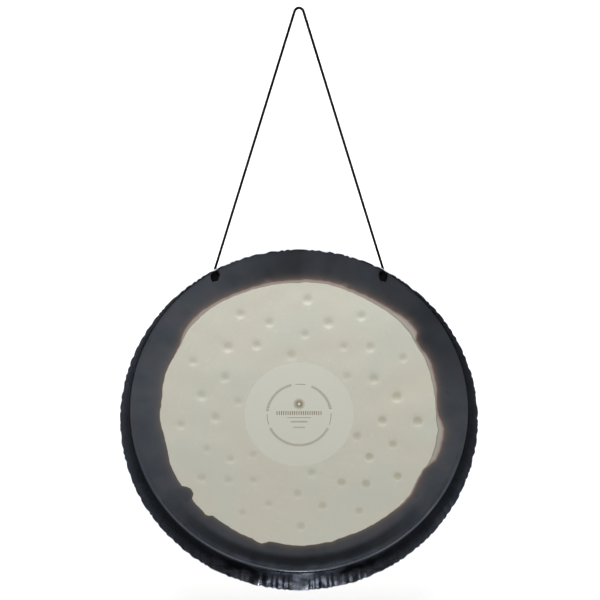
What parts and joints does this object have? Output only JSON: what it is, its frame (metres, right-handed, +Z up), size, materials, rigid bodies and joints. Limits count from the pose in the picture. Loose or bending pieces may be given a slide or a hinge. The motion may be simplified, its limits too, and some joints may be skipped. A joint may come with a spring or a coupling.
{
  "type": "gong",
  "caption": "Tam tam gong: a round sheet-metal pan with a deep turned rim, slung by two rim holes from a knotted black cord that hangs on a hook.",
  "frame": {"origin": "the hang point: the inside of the top of the cord's bight, where it rests on the hook", "axes": "+Z up; the gong's axis is parallel to Y and its open, rimmed side faces -Y; +X is to the right of a viewer who looks into the hollow"},
  "size_m": [0.812, 0.0757, 1.3309],
  "materials": {
    "nickel_silver": "hand-hammered nickel silver sheet, brushed in the middle, with a fire-darkened blue-grey border and rim",
    "black_cord": "braided black polyester cord"
  },
  "bodies": {
    "hook_bight": {"cord_bight": "black_cord"},
    "sling": {"left_cord_leg": "black_cord", "right_cord_leg": "black_cord"},
    "gong": {"gong_plate": "nickel_silver", "left_knot": "black_cord", "right_knot": "black_cord"}
  },
  "joints": [
    {"name": "sling_swing", "type": "hinge", "parent": "hook_bight", "child": "sling", "pos_m": [0, 0, 0], "axis": [1, 0, 0], "range_deg": [-30, 30]},
    {"name": "gong_tilt", "type": "hinge", "parent": "sling", "child": "gong", "pos_m": [0, 0, -0.57328], "axis": [1, 0, 0], "range_deg": [-25, 25]}
  ]
}
